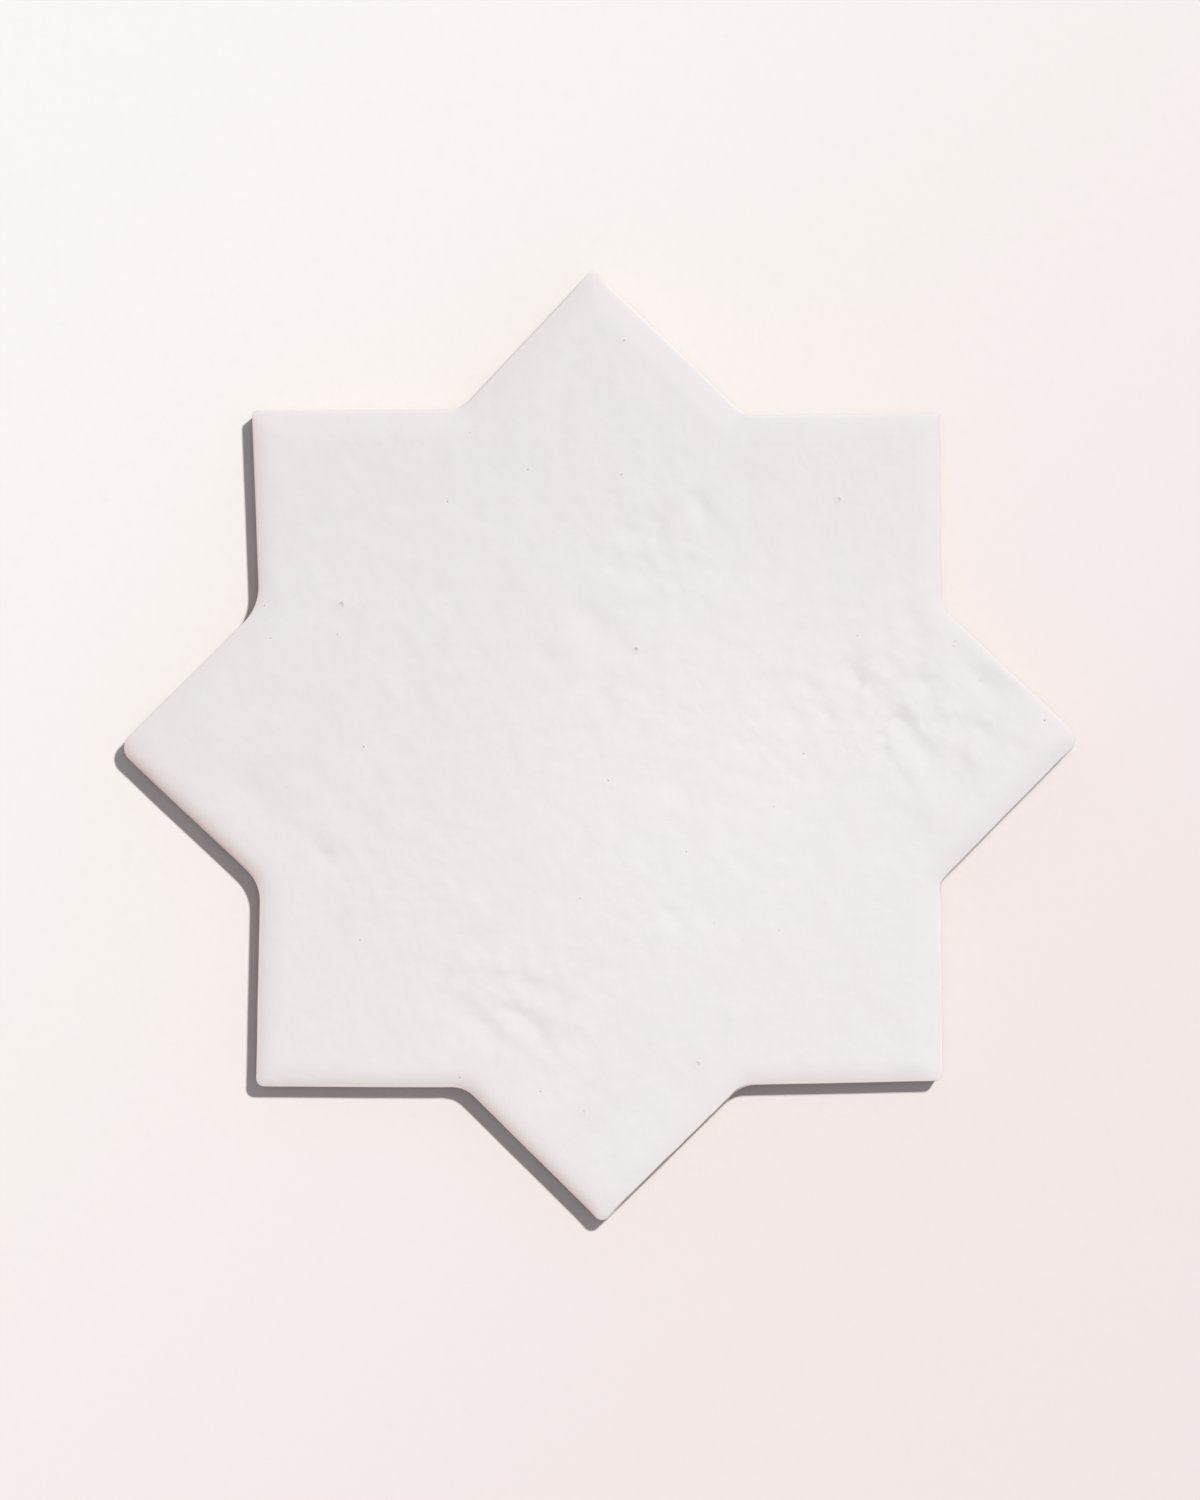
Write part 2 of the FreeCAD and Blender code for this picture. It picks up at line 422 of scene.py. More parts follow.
class StarTileStageSettings(bpy.types.PropertyGroup):
    """The table, the lights and the camera."""

    sun_height: angle("Sun height", "Height of the main light above the table", 74.3)
    sun_bearing: angle("Sun bearing", "Where it stands, from the east tip to the north", 47.8)
    sun_width: angle("Sun width", "How wide it looks from the tile", 2.2)
    sun_strength: share("Sun strength", "Brightness of the main light", 2.745, 20.0)
    above_width: angle("Overhead width", "How wide the light from above looks", 14.0)
    above_strength: share("Overhead strength", "Brightness of the light from above", 0.23, 20.0)
    above: colour("Overhead", "Colour of the light from above", (1.0, 0.93, 0.98))
    room_strength: share("Room strength", "Brightness of the room", 0.27, 20.0)
    room: colour("Room", "Colour of the light from the room", (0.90, 0.92, 1.0))
    table_cream: colour("Cream", "The table at the upper left", (0.836, 0.805, 0.765))
    table_pink: colour("Pink", "The table at the lower right", (0.760, 0.687, 0.662))
    camera_height: length("Camera height", "From the table to the lens", 4015.5)
    camera_right: length("Camera to the right", "Of the tile's middle", 0.07, -20.0)
    camera_down: length("Camera down", "Of the tile's middle", 0.62, -20.0)
    camera_lens: bpy.props.FloatProperty(
        name="Lens", description="Focal length in millimetres", default=600.0, min=20.0)


StarCorner = namedtuple("StarCorner", "point radius arris side")
Arc = namedtuple("Arc", "centre radius start_angle sweep start end")


def arris_of_frame():
    """The points along the frame's arris, anticlockwise. Each side has its own height."""
    body = bmesh.new()
    body.from_mesh(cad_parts[TILE_NODE].data)
    bmesh.ops.remove_doubles(body, verts=body.verts, dist=MERGE_DISTANCE)
    neighbours = {}
    for edge in body.edges:
        rises = sorted(face.normal.z for face in edge.link_faces)
        if len(rises) != 2:
            continue
        if abs(rises[0]) < WALL_NORMAL_RISE and rises[1] > FACE_NORMAL_RISE:
            first, second = edge.verts
            neighbours.setdefault(first, []).append(second)
            neighbours.setdefault(second, []).append(first)
    if not neighbours or any(len(both) != 2 for both in neighbours.values()):
        raise RuntimeError("the frame's tile has no closed arris between its wall and its face")
    start = next(iter(neighbours))
    loop = [start.co.copy()]
    previous, here = start, neighbours[start][0]
    while here is not start:
        loop.append(here.co.copy())
        onward = [there for there in neighbours[here] if there is not previous][0]
        previous, here = here, onward
    body.free()
    if sum(a.xy.cross(b.xy) for a, b in zip(loop, loop[1:] + loop[:1])) < 0:
        loop.reverse()
    return loop


def star_corners(loop):
    """The star's sharp corners, from the arris points.

    Each has the radius of its arc, and the arris height and the side of the run after it.
    """
    runs = [(a, b) for a, b in zip(loop, loop[1:] + loop[:1]) if (b - a).length > SHORTEST_RUN]
    if len(runs) != CORNERS:
        raise RuntimeError("the frame's arris has not sixteen straight runs")
    corners = []
    for before, after in zip(runs, runs[1:] + runs[:1]):
        way_in = (before[1] - before[0]).xy.normalized()
        way_out = (after[1] - after[0]).xy.normalized()
        half_turn = way_in.angle(way_out) / 2
        tangent = (after[0] - before[1]).xy.length / 2 / math.cos(half_turn)
        middle = after[0] + after[1]
        side = int(math.atan2(middle.y, middle.x) % math.tau / math.tau * CORNERS)
        corners.append(StarCorner(before[1].xy + way_in * tangent, tangent / math.tan(half_turn),
                                  after[0].z, SIDES[side]))
    return corners


def star_arcs(corners, inset):
    """The arcs that round the star's corners once its runs have moved in by inset."""
    moved = []
    for index, corner in enumerate(corners):
        way_in = (corner.point - corners[index - 1].point).normalized()
        way_out = (corners[(index + 1) % CORNERS].point - corner.point).normalized()
        side_in = Vector((-way_in.y, way_in.x))
        side_out = Vector((-way_out.y, way_out.x))
        moved.append(corner.point + (side_in + side_out) * inset / (1 + side_in.dot(side_out)))
    arcs = []
    for index, point in enumerate(moved):
        way_in = (point - moved[index - 1]).normalized()
        way_out = (moved[(index + 1) % CORNERS] - point).normalized()
        turn = math.atan2(way_in.cross(way_out), way_in.dot(way_out))
        radius = corners[index].radius
        tangent = radius * math.tan(abs(turn) / 2)
        start = point - way_in * tangent
        centre = start + Vector((-way_in.y, way_in.x)) * math.copysign(radius, turn)
        spoke = start - centre
        start_angle = math.atan2(spoke.y, spoke.x)
        arcs.append(Arc(centre, radius, start_angle, turn, start, point + way_out * tangent))
    return arcs


def place_on_star(arcs, place):
    """The point and the outward way at a place on the star.

    Places count the arcs and runs in turn: from 0 to 1 is the first arc, from 1 to 2 the run
    after it, and so on round the star.
    """
    whole = int(place)
    part = place - whole
    arc = arcs[whole // 2]
    if whole % 2 == 0:
        turned = arc.start_angle + arc.sweep * part
        spoke = Vector((math.cos(turned), math.sin(turned)))
        return arc.centre + spoke * arc.radius, spoke * math.copysign(1, arc.sweep)
    way = arcs[(whole // 2 + 1) % CORNERS].start - arc.end
    return arc.end + way * part, Vector((way.y, -way.x)).normalized()


def groove_sides():
    """The y of every line where a groove's side meets the back or its floor."""
    sides = []
    centre = GROOVE_PITCH / 2
    while centre < CAD_BOX[1].y:
        for side in (-GROOVE_HALF_MOUTH, -GROOVE_HALF_FLOOR, GROOVE_HALF_FLOOR, GROOVE_HALF_MOUTH):
            sides += [centre + side, -centre - side]
        centre += GROOVE_PITCH
    return sorted(sides)


def groove_rise(y):
    """How high the back stands above the table at y."""
    across = abs(abs(y) % GROOVE_PITCH - GROOVE_PITCH / 2)
    side = (GROOVE_HALF_MOUTH - across) / (GROOVE_HALF_MOUTH - GROOVE_HALF_FLOOR)
    return GROOVE_DEPTH * min(1, max(0, side))


def wall_inset(height):
    """How far the leaning wall stands in from the arris at a height."""
    return (CAD_BOX[1].z - height) * math.tan(math.radians(WALL_LEAN_DEGREES))


def blended(of_side, places, arcs):
    """A number at each place, which blends softly from one side's number to the next one's."""
    points = [place_on_star(arcs, place)[0] for place in places]
    steps = [(b - a).length for a, b in zip(points, points[1:] + points[:1])]
    sides = [of_side[math.floor((place - 0.5) / 2)] for place in places]
    numbers = []
    for index in range(len(places)):
        total = 0.0
        weights = 0.0
        for way in (1, -1):
            away = 0.0
            other = index
            while away < SIDE_BLEND / 2:
                weight = steps[other] * (1 + math.cos(math.tau * away / SIDE_BLEND))
                total += weight * sides[other]
                weights += weight
                away += steps[other if way > 0 else other - 1]
                other = (other + way) % len(places)
        numbers.append(total / weights)
    return numbers


def tapered(side, point, corners):
    """The side there: its lip and its dark line of bare clay and painted shadow fade towards the
    tips.
    """
    away = min((point - tip.point).length for tip in corners[::2])
    kept = min(1, max(0, (away - TIP_BARE) / TIP_TAPER))
    return side._replace(lip=side.lip * kept, scorch=side.scorch * kept)


def edge_places(arcs, spacing):
    """Places along the edge: evenly on arcs and runs, and where groove sides meet the edge.

    Also returns, for each groove side, the numbers of the places where it meets the edge.
    """
    even = []
    for index, arc in enumerate(arcs):
        even += [2 * index + step / ARC_STEPS for step in range(ARC_STEPS)]
        run = (arcs[(index + 1) % CORNERS].start - arc.end).length
        steps = round(run / spacing)
        even += [2 * index + 1 + step / steps for step in range(steps)]
    points = [place_on_star(arcs, place)[0] for place in even]
    met = []
    for side in groove_sides():
        for index, here in enumerate(points):
            there = points[(index + 1) % len(points)]
            if (here.y < side) != (there.y < side):
                onward = even[index + 1] if index + 1 < len(even) else 2 * CORNERS
                part = (side - here.y) / (there.y - here.y)
                met.append((even[index] + (onward - even[index]) * part, side))
    crowd = KDTree(len(met))
    for index, (place, side) in enumerate(met):
        crowd.insert(place_on_star(arcs, place)[0].to_3d(), index)
    crowd.balance()
    kept = [(place, None) for place, point in zip(even, points)
            if crowd.find(point.to_3d())[2] > spacing * EDGE_GAP]
    ordered = sorted(kept + met, key=lambda entry: entry[0])
    ends = {}
    for index, (place, side) in enumerate(ordered):
        if side is not None:
            ends.setdefault(side, []).append(index)
    return [place for place, side in ordered], ends


def linked_object(name, data):
    """A new object in the scene."""
    made = bpy.data.objects.new(name, data)
    bpy.context.scene.collection.objects.link(made)
    return made


def mesh_object(name, points, faces=(), numbers=None, vectors=None):
    """A mesh object in the scene. Its points carry numbers and vectors, as flat lists by name."""
    mesh = bpy.data.meshes.new(name)
    mesh.from_pydata(points, [], faces)
    for label, values in (numbers or {}).items():
        mesh.attributes.new(label, "FLOAT", "POINT").data.foreach_set("value", values)
    for label, values in (vectors or {}).items():
        mesh.attributes.new(label, "FLOAT_VECTOR", "POINT").data.foreach_set("vector", values)
    return linked_object(name, mesh)


class TileMesh:
    """Gathers the points and faces of the tile, with what the finish needs at each point."""

    def __init__(self):
        self.points = []
        self.faces = []
        self.numbers = {"rim": [], "top": []}
        self.vectors = {"outward": [], "gathered": [], "drained": []}

    def add(self, point, rim, top, outward=(0, 0), side=PLAIN_SIDE):
        """Adds a point. Rim is the way in from the arris, or below zero the way down the wall."""
        self.points.append(point)
        self.numbers["rim"].append(rim)
        self.numbers["top"].append(top)
        self.vectors["outward"] += (*outward, 0)
        # Each point carries its side's painted highlight, painted sheen band and thin glaze with
        # painted shade, then its lip and its dark line of bare clay and painted shadow.
        self.vectors["gathered"] += (side.bead, side.band, side.thin)
        self.vectors["drained"] += (side.lip, side.scorch, 0)
        return len(self.points) - 1

    def outline(self, ring):
        """The flat points of a ring."""
        return [Vector(self.points[number][:2]) for number in ring]

    def bridge(self, inner, outer):
        """Joins two rings of equally many points, the first one above or inside the other."""
        for index, here in enumerate(inner):
            onward = (index + 1) % len(inner)
            self.faces.append((here, outer[index], outer[onward], inner[onward]))

    def fill(self, ring, inside, segments, looks_up):
        """Fills a ring with triangles through the points inside it, along the segments."""
        numbers = ring + inside
        flat = [point / MM for point in self.outline(numbers)]
        where = {number: index for index, number in enumerate(numbers)}
        edges = [(where[a], where[b]) for a, b in segments]
        whole = list(range(len(ring)))
        points, _, triangles, point_names, _, face_names = delaunay_2d_cdt(
            flat, edges, [whole], INSIDE_ONLY, FLAT_PRECISION, True)
        if len(points) != len(numbers):
            raise RuntimeError("two points of the tile's face or back lie on each other")
        names = [numbers[origins[0]] for origins in point_names]
        for triangle, within in zip(triangles, face_names):
            if within:
                corners = [names[index] for index in triangle]
                self.faces.append(corners if looks_up else corners[::-1])


def rows_inside(outline, heights, spacing):
    """Evenly spaced points inside an outline, row by row, every other row half a step on."""
    for number, y in enumerate(heights):
        crossings = []
        for a, b in zip(outline, outline[1:] + outline[:1]):
            if (a.y < y) != (b.y < y):
                crossings.append(a.x + (b.x - a.x) * (y - a.y) / (b.y - a.y))
        crossings.sort()
        shift = spacing / 2 if number % 2 else 0
        for left, right in zip(crossings[::2], crossings[1::2]):
            first = math.ceil((left - shift) / spacing)
            last = math.floor((right - shift) / spacing)
            for step in range(first, last + 1):
                yield Vector((step * spacing + shift, y, 0))


def point_finder(points):
    """A search tree over flat points."""
    finder = KDTree(len(points))
    for index, point in enumerate(points):
        finder.insert((point[0], point[1], 0), index)
    finder.balance()
    return finder


def face_points(outline, ring_ways, spacing):
    """Points of a triangle grid over the glazed face, closer together round each crater.

    Each comes with its way in from the outline. A crater on the rolled rim gets no points,
    because the rings of the roll run through it.
    """
    edge = point_finder(outline)
    holes = point_finder([(hole.x * MM, hole.y * MM) for hole in CRATERS])
    lowest = min(point.y for point in outline)
    highest = max(point.y for point in outline)
    step = spacing * math.sqrt(3) / 2
    rows = [lowest + step * (number + 1) for number in range(int((highest - lowest) / step))]
    for point in rows_inside(outline, rows, spacing):
        _, number, gap = holes.find(point)
        reach = CRATERS[number].radius * MM * CRATER_CIRCLES[-1] + spacing / 2
        away = edge.find(point)[2]
        if away > spacing * FACE_GAP and gap > reach:
            yield point, away
    for hole in CRATERS:
        centre = Vector((hole.x, hole.y, 0)) * MM
        nearest, number, away = edge.find(centre)
        if (centre - nearest).xy.dot(ring_ways[number]) > -hole.radius * MM * CRATER_ROLL_GAP:
            continue
        yield centre, away
        for number, circle in enumerate(CRATER_CIRCLES):
            radius = hole.radius * MM * circle
            count = round(math.tau * radius / (spacing * CRATER_SPACING))
            count = max(CRATER_FEWEST_POINTS, count)
            for spoke in range(count):
                turned = math.tau * (spoke + number / 2) / count
                yield centre + Vector((math.cos(turned), math.sin(turned), 0)) * radius, away


def tile_shape(settings):
    """The tile as a closed mesh: face, rolled rim, arris, walls and combed back."""
    face_height = CAD_BOX[1].z
    rounding = settings.arris_round
    corners = star_corners(arris_of_frame())
    foot = wall_inset(BACK_ARRIS)
    back_arcs = star_arcs(corners, foot + BACK_ARRIS)
    places, groove_ends = edge_places(back_arcs, settings.column)
    arris = blended([corner.arris for corner in corners], places, back_arcs)
    fields = [blended([corner.side[field] for corner in corners], places, back_arcs)
              for field in range(len(Side._fields))]
    sides = [tapered(Side(*numbers), place_on_star(back_arcs, place)[0], corners)
             for place, *numbers in zip(places, *fields)]
    shape = TileMesh()

    def ring(inset, rim, top, height):
        """A ring of points at one inset. The height is a rule of arris height, power and y."""
        arcs = star_arcs(corners, inset)
        near = 1 - inset / settings.roll_width
        numbers = []
        for place, arris_height, side in zip(places, arris, sides):
            point, outward = place_on_star(arcs, place)
            z = height(arris_height, side.power, point.y)
            point = point + outward * side.slip * MM * near
            numbers.append(shape.add((point.x, point.y, z), rim, top, outward, side))
        return numbers

    rings = []
    round_start = 1 - rounding / settings.roll_width
    for step in range(ROLL_STEPS + 1):
        part = round_start * (1 - (1 - step / ROLL_STEPS) ** ROLL_CROWDING)
        inset = settings.roll_width * (1 - part)
        rings.append(ring(inset, inset, 1, lambda arris_height, power, y:
                          face_height - (face_height - arris_height) * part ** power))
    for step in range(1, ARRIS_STEPS + 1):
        part = step / ARRIS_STEPS
        inset = rounding * (1 - part) ** 2
        rings.append(ring(inset, inset - rounding * part, 0, lambda arris_height, power, y:
                          arris_height - rounding * part ** 2
                          + (face_height - arris_height) * (1 - round_start ** power)
                          * (1 - part) ** 2))
    for step in range(1, WALL_STEPS + 1):
        part = step / WALL_STEPS
        level = face_height + (WALL_LOW - face_height) * part
        rings.append(ring(wall_inset(level), level - face_height, 0,
                          lambda arris_height, power, y:
                          WALL_LOW + (arris_height - rounding - WALL_LOW) * (1 - part)))
    rings.append(ring(foot, -face_height, 0,
                      lambda arris_height, power, y: max(BACK_ARRIS, groove_rise(y))))
    rings.append(ring(foot + BACK_ARRIS, -face_height, 0,
                      lambda arris_height, power, y: groove_rise(y)))
    for inner, outer in zip(rings, rings[1:]):
        shape.bridge(inner, outer)

    outward = shape.vectors["outward"]
    ring_ways = [Vector(outward[3 * number:3 * number + 2]) for number in rings[0]]
    inside = [shape.add((point.x, point.y, face_height), settings.roll_width + away, 1)
              for point, away in face_points(shape.outline(rings[0]), ring_ways, settings.grid)]
    shape.fill(rings[0], inside, [], True)
    inside, segments = back_points(shape, rings[-1], groove_ends, settings.back_grid)
    shape.fill(rings[-1], inside, segments, False)
    tile = mesh_object(PIECE_NAME, shape.points, shape.faces, shape.numbers, shape.vectors)
    tile.data.shade_smooth()
    return tile


def back_points(shape, ring, groove_ends, spacing):
    """Points of the combed back, and the segments along the sides of its grooves."""
    outline = shape.outline(ring)
    edge = point_finder(outline)

    def added(x, y):
        """The number of a new point of the back."""
        return shape.add((x, y, groove_rise(y)), -CAD_BOX[1].z, 0)

    inside = []
    segments = []
    for side, ends in groove_ends.items():
        ends = sorted(ends, key=lambda index: outline[index].x)
        for left, right in zip(ends[::2], ends[1::2]):
            first, last = outline[left].x, outline[right].x
            steps = max(1, round((last - first) / spacing))
            line = [ring[left]]
            for step in range(1, steps):
                x = first + (last - first) * step / steps
                if edge.find((x, side, 0))[2] > spacing * EDGE_GAP:
                    line.append(added(x, side))
            inside += line[1:]
            line.append(ring[right])
            segments += zip(line, line[1:])
    sides = sorted(groove_ends)
    between = [(low + high) / 2 for low, high in zip(sides, sides[1:])
               if high - low > GROOVE_HALF_MOUTH]
    inside += [added(point.x, point.y) for point in rows_inside(outline, between, spacing)
               if edge.find(point)[2] > spacing * BACK_GAP]
    return inside, segments


class Graph:
    """Adds nodes to a node tree, each with its inputs, so that a graph reads line by line."""

    def __init__(self, tree):
        self.tree = tree

    def feed(self, socket, value):
        """Gives a socket a value, or links it to another node's output."""
        if isinstance(value, bpy.types.NodeSocket):
            self.tree.links.new(value, socket)
        else:
            socket.default_value = value

    def add(self, kind, inputs=None, **choices):
        """A node of that kind. Its inputs are values, or outputs of other nodes."""
        node = self.tree.nodes.new(kind)
        for name, value in choices.items():
            setattr(node, name, value)
        for name, value in (inputs or {}).items():
            self.feed(node.inputs[name], value)
        return node

    def maths(self, operation, *numbers):
        """An operation on one number or two."""
        node = self.add("ShaderNodeMath", dict(enumerate(numbers)), operation=operation)
        return node.outputs["Value"]

    def total(self, first, *others):
        """The sum of some numbers."""
        for other in others:
            first = self.maths("ADD", first, other)
        return first

    def product(self, first, *others):
        """The product of some numbers."""
        for other in others:
            first = self.maths("MULTIPLY", first, other)
        return first

    def bell(self, away):
        """One where a number is nought, and falling off softly on either side."""
        return self.maths("EXPONENT", self.product(away, away, -1.0))

    def blend(self, amount, first, second):
        """The first number where the amount is 0, and the second where it is 1."""
        rest = self.maths("SUBTRACT", 1.0, amount)
        return self.total(self.product(rest, first), self.product(amount, second))

    def vectors(self, operation, first, second):
        """An operation on two vectors, which gives a vector, or the distance between them."""
        node = self.add("ShaderNodeVectorMath", {0: first, 1: second}, operation=operation)
        return node.outputs["Value" if operation == "DISTANCE" else "Vector"]

    def parts(self, vector):
        """The three numbers of a vector."""
        return self.add("ShaderNodeSeparateXYZ", {"Vector": vector}).outputs

    def vector(self, **numbers):
        """A vector of numbers given as X, Y and Z, which are nought if left out."""
        return self.add("ShaderNodeCombineXYZ", numbers).outputs["Vector"]

    def turned(self, vector, turn):
        """A vector turned round the vertical."""
        inputs = {"Vector": vector, "Angle": turn}
        return self.add("ShaderNodeVectorRotate", inputs, rotation_type="Z_AXIS").outputs[0]

    def spread(self, value, low, high, from_value=0.0, to_value=1.0):
        """A soft step of value from low to high, which runs from one number to another."""
        ends = {"Value": value, "From Min": low, "From Max": high,
                "To Min": from_value, "To Max": to_value}
        return self.add("ShaderNodeMapRange", ends, interpolation_type="SMOOTHSTEP").outputs[0]

    def noise(self, place, pattern):
        """The noise of a pattern at a place, from 0 to 1."""
        settings = {"Vector": place, "Scale": pattern.scale, "Detail": pattern.detail,
                    "Roughness": pattern.roughness}
        return self.add("ShaderNodeTexNoise", settings, noise_dimensions="3D").outputs["Fac"]

    def waves(self, noise, height):
        """Noise as waves about nought, of a height from trough to crest."""
        return self.product(self.maths("SUBTRACT", noise, 0.5), height)

    def patches(self, noise, pattern):
        """The patches that a pattern has in its noise."""
        return self.product(self.spread(noise, pattern.low, pattern.high), pattern.full)

    def mix(self, amount, first, second):
        """A blend of two colours."""
        node = self.add("ShaderNodeMix", data_type="RGBA")
        sockets = {socket.identifier: socket for socket in (*node.inputs, *node.outputs)}
        self.feed(sockets["Factor_Float"], amount)
        self.feed(sockets["A_Color"], first)
        self.feed(sockets["B_Color"], second)
        return sockets["Result_Color"]

    def attribute(self, name, data_type="FLOAT"):
        """An attribute of the mesh, in a geometry tree."""
        node = self.add("GeometryNodeInputNamedAttribute", {"Name": name}, data_type=data_type)
        return node.outputs["Attribute"]

    def store(self, geometry, name, value):
        """The geometry with a number kept at each of its points."""
        inputs = {"Geometry": geometry, "Name": name, "Value": value}
        node = self.add("GeometryNodeStoreNamedAttribute", inputs, data_type="FLOAT",
                        domain="POINT")
        return node.outputs["Geometry"]

    def points_of(self, helper):
        """The loose points of a helper object."""
        return self.add("GeometryNodeObjectInfo", {"Object": helper}).outputs["Geometry"]

    def sample(self, geometry, value, index, data_type="FLOAT"):
        """What a value is at one numbered point of a geometry."""
        node = self.add("GeometryNodeSampleIndex", data_type=data_type, domain="POINT")
        for name, source in (("Geometry", geometry), ("Value", value), ("Index", index)):
            self.feed(node.inputs[name], source)
        return node.outputs["Value"]


def new_tree(name, tree_type, inputs, outputs):
    """A node group, as its graph, its inputs and its outputs. Sockets are listed by kind."""
    tree = bpy.data.node_groups.new(name, tree_type)
    for in_out, kinds in (("INPUT", inputs), ("OUTPUT", outputs)):
        for kind, labels in kinds.items():
            for label in labels:
                tree.interface.new_socket(label, in_out=in_out, socket_type="NodeSocket" + kind)
    graph = Graph(tree)
    return graph, graph.add("NodeGroupInput").outputs, graph.add("NodeGroupOutput").inputs


def marks_group():
    """Geometry group: adds up soft oval marks at each point and keeps the sum as an attribute."""
    graph, given, result = new_tree(
        "Sum of soft marks", "GeometryNodeTree",
        {"Geometry": ["Geometry"], "Object": ["Marks"], "String": ["Kept as"]},
        {"Geometry": ["Geometry"]})
    marks = graph.points_of(given["Marks"])
    count = graph.add("GeometryNodeAttributeDomainSize", {"Geometry": marks}, component="MESH")
    begin = graph.add("GeometryNodeRepeatInput")
    end = graph.add("GeometryNodeRepeatOutput")
    begin.pair_with_output(end)
    graph.feed(begin.inputs["Iterations"], count.outputs["Point Count"])
    graph.feed(begin.inputs["Geometry"], graph.store(given["Geometry"], given["Kept as"], 0.0))
    index = begin.outputs["Iteration"]
    position = graph.add("GeometryNodeInputPosition").outputs["Position"]
    centre = graph.sample(marks, position, index, "FLOAT_VECTOR")
    reach = graph.sample(marks, graph.attribute("reach", "FLOAT_VECTOR"), index, "FLOAT_VECTOR")
    depth = graph.sample(marks, graph.attribute("depth"), index)
    half_length, half_width, turn = graph.parts(reach)
    away = graph.turned(graph.vectors("SUBTRACT", position, centre), graph.product(turn, -1.0))
    along, across, _ = graph.parts(away)
    mark = graph.product(graph.bell(graph.maths("DIVIDE", along, half_length)),
                         graph.bell(graph.maths("DIVIDE", across, half_width)), depth)
    so_far = graph.total(graph.attribute(given["Kept as"]), mark)
    kept = graph.store(begin.outputs["Geometry"], given["Kept as"], so_far)
    graph.feed(end.inputs["Geometry"], kept)
    graph.feed(result["Geometry"], end.outputs["Geometry"])
    return graph.tree


def hand_and_kiln_tree():
    """Geometry tree: everything that the hand and the kiln do to the plain star."""
    graph, given, result = new_tree(
        "Hand and kiln", "GeometryNodeTree",
        {"Geometry": ["Geometry"], "Object": ["Presses", "Lumpy patches", "Craters"],
         "Float": TREE_LENGTHS, "Int": ["Seed"], "Material": ["Finish"]},
        {"Geometry": ["Geometry"]})
    group = marks_group()
    geometry = given["Geometry"]
    for source, kept_as in (("Presses", "press"), ("Lumpy patches", "lumpy")):
        inputs = {"Geometry": geometry, "Marks": given[source], "Kept as": kept_as}
        geometry = graph.add("GeometryNodeGroup", inputs, node_tree=group).outputs["Geometry"]

    position = graph.add("GeometryNodeInputPosition").outputs["Position"]
    rim = graph.attribute("rim")
    top = graph.attribute("top")
    seed_right, seed_up = [graph.product(given["Seed"], step) for step in SEED_STEP]
    place = graph.vectors("ADD", position, graph.vector(X=seed_right, Y=seed_up))
    slanted = graph.turned(place, RELIEF_TURN)

    def relief_waves(scales, name):
        """Waves that run aslant over the face, with the size and depth given under a name."""
        pattern = Pattern(graph.maths("DIVIDE", 1.0, given[name + " size"]), detail=2.0,
                          roughness=0.5)
        scaled = graph.vectors("MULTIPLY", slanted, scales)
        return graph.waves(graph.noise(scaled, pattern), given[name + " depth"])

    worked = graph.total(graph.attribute("lumpy"), LUMPS_EVERYWHERE)
    relief = graph.total(relief_waves(RIPPLE_SCALES, "Ripple"),
                         graph.product(relief_waves(LUMP_SCALES, "Lump"), worked),
                         graph.product(graph.attribute("press"), given["Press depth"], -1.0))
    relief = graph.product(relief, graph.spread(rim, RELIEF_START, RELIEF_WHOLE), top)

    holes = graph.points_of(given["Craters"])
    flat = graph.vectors("MULTIPLY", position, (1.0, 1.0, 0.0))
    nearest = graph.add("GeometryNodeSampleNearest",
                        {"Geometry": holes, "Sample Position": flat}).outputs["Index"]
    centre = graph.sample(holes, position, nearest, "FLOAT_VECTOR")
    radius, depth, stain = [graph.sample(holes, graph.attribute(name), nearest)
                            for name in ("radius", "depth", "stain")]
    away = graph.maths("DIVIDE", graph.vectors("DISTANCE", flat, centre), radius)
    bowl = graph.product(graph.spread(away, 1.0, CRATER_FLOOR), -1.0)
    from_crest = graph.maths("SUBTRACT", away, CRATER_BEAD_CREST)
    bead = graph.bell(graph.maths("DIVIDE", from_crest, CRATER_BEAD_WIDTH))
    sunk = graph.total(graph.product(bead, CRATER_BEAD_HEIGHT), bowl)
    sunk = graph.product(sunk, depth, top)
    stain = graph.product(graph.spread(away, 1.0, CRATER_STAIN), stain)
    geometry = graph.store(geometry, "pit", stain)

    # The cut edge strays a little, most at the wall and not at all inside the roll. Waves twice
    # as high as the wander stray that far to either side.
    stray = graph.waves(graph.noise(place, CUT_STRAY), given["Cut wander"])
    stray = graph.product(stray, 2.0, graph.spread(rim, given["Roll width"], 0.0))
    aside = graph.vectors("MULTIPLY", graph.attribute("outward", "FLOAT_VECTOR"), stray)
    offset = graph.vectors("ADD", graph.vector(Z=graph.total(relief, sunk)), aside)
    moved = graph.add("GeometryNodeSetPosition", {"Geometry": geometry, "Offset": offset})

    bend = graph.add("GeometryNodeInputMeshEdgeAngle").outputs["Unsigned Angle"]
    hard = graph.product(graph.maths("GREATER_THAN", bend, SHARP_BEND),
                         graph.maths("LESS_THAN", rim, -SHARP_DEPTH))
    sharp = graph.add("GeometryNodeSetShadeSmooth",
                      {"Geometry": moved.outputs["Geometry"], "Selection": hard,
                       "Shade Smooth": False}, domain="EDGE")
    real = graph.add("GeometryNodeRealizeInstances", {"Geometry": sharp.outputs["Geometry"]})
    finish = graph.add("GeometryNodeSetMaterial",
                       {"Geometry": real.outputs["Geometry"], "Material": given["Finish"]})
    graph.feed(result["Geometry"], finish.outputs["Geometry"])
    return graph.tree


def marks_object(name, marks):
    """A loose point for each pressed mark, with its reach and depth, for the tree to read."""
    reach = []
    for mark in marks:
        reach += [mark.length * MM, mark.width * MM, math.radians(mark.turn)]
    return mesh_object(name, [(mark.x * MM, mark.y * MM, CAD_BOX[1].z) for mark in marks],
                       numbers={"depth": [mark.depth for mark in marks]},
                       vectors={"reach": reach})


